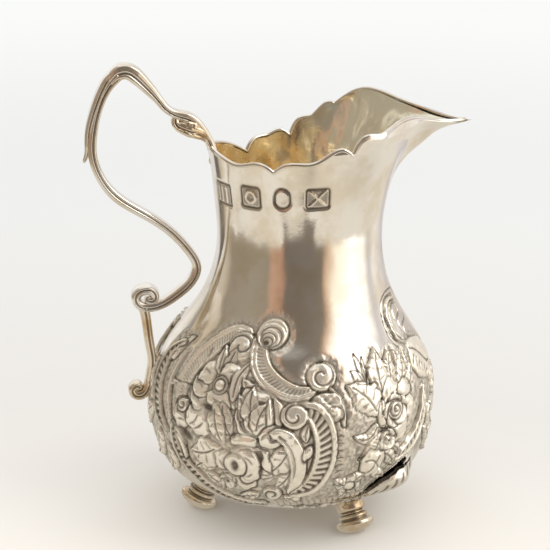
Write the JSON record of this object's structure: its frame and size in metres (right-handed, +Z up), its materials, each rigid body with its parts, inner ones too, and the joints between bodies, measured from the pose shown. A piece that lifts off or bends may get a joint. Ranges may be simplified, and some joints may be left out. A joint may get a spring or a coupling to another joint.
{
  "type": "silver cream jug",
  "caption": "Small pear-shaped silver cream jug with a wavy rim, a beak spout, a cast scroll handle and stepped feet, with chased flowers and scrolls.",
  "frame": {"origin": "on the table, at the middle of the jug's length and width, under the pear-shaped body", "axes": "+Z up, +X towards the tip of the spout, -X towards the back of the handle"},
  "size_m": [0.0756, 0.0572, 0.092],
  "materials": {
    "silver": "polished silver, lightly tarnished, dark oxide in the chased ground",
    "gilding": "worn gilding on the inside of the bowl"
  },
  "bodies": {
    "root": {"body": "silver", "handle_upper_arm": "silver", "handle_main_scroll": "silver", "handle_lower_bracket": "silver", "foot_handle_side": "silver", "foot_spout_near": "silver", "foot_spout_far": "silver"}
  },
  "joints": []
}
